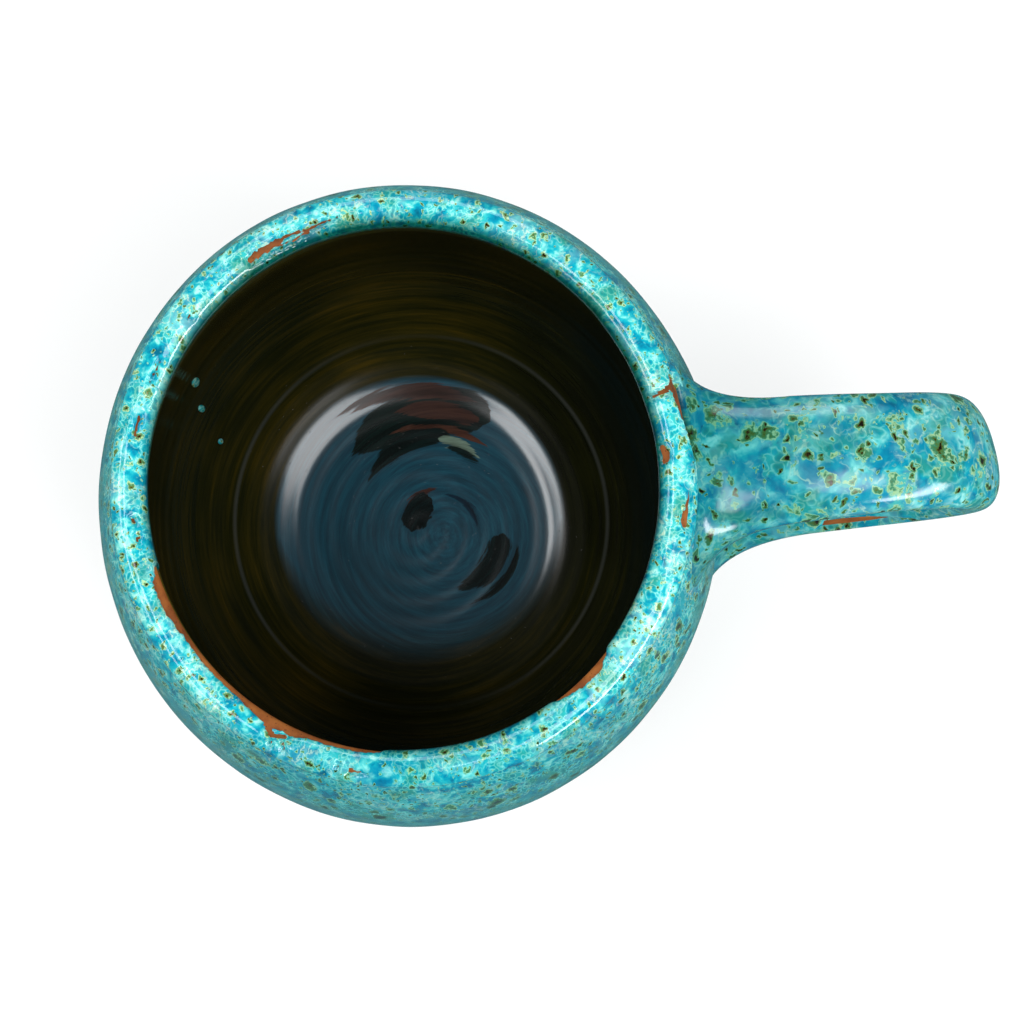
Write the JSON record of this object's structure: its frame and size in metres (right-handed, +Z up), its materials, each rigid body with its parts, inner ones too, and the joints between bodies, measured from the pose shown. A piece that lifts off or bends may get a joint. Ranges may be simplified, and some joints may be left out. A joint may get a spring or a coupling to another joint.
{
  "type": "ceramic cup",
  "caption": "Thrown stoneware cup with a low full belly, a rounded lip, a pulled strap handle, turquoise glaze outside and a dark glaze inside.",
  "frame": {"origin": "centre of the flat base on the resting plane, on the cup's axis", "axes": "+Z up along the cup's axis, +X towards the handle"},
  "size_m": [0.1381, 0.0992, 0.0881],
  "materials": {
    "fired_clay": "bare red-brown stoneware, matt and slightly gritty",
    "fired_slip": "matt fired slip",
    "turquoise_glaze": "glossy reactive turquoise glaze with pale cells and olive spots",
    "dark_liner_glaze": "glossy near-black brown glaze with amber streaks and a blue-grey film on the floor"
  },
  "bodies": {
    "root": {"clay_body": "fired_clay", "handle": "fired_clay", "upper_slip_joint": "fired_slip", "lower_slip_joint": "fired_slip", "body_glaze": "turquoise_glaze", "handle_glaze": "turquoise_glaze", "liner_glaze": "dark_liner_glaze"}
  },
  "joints": []
}
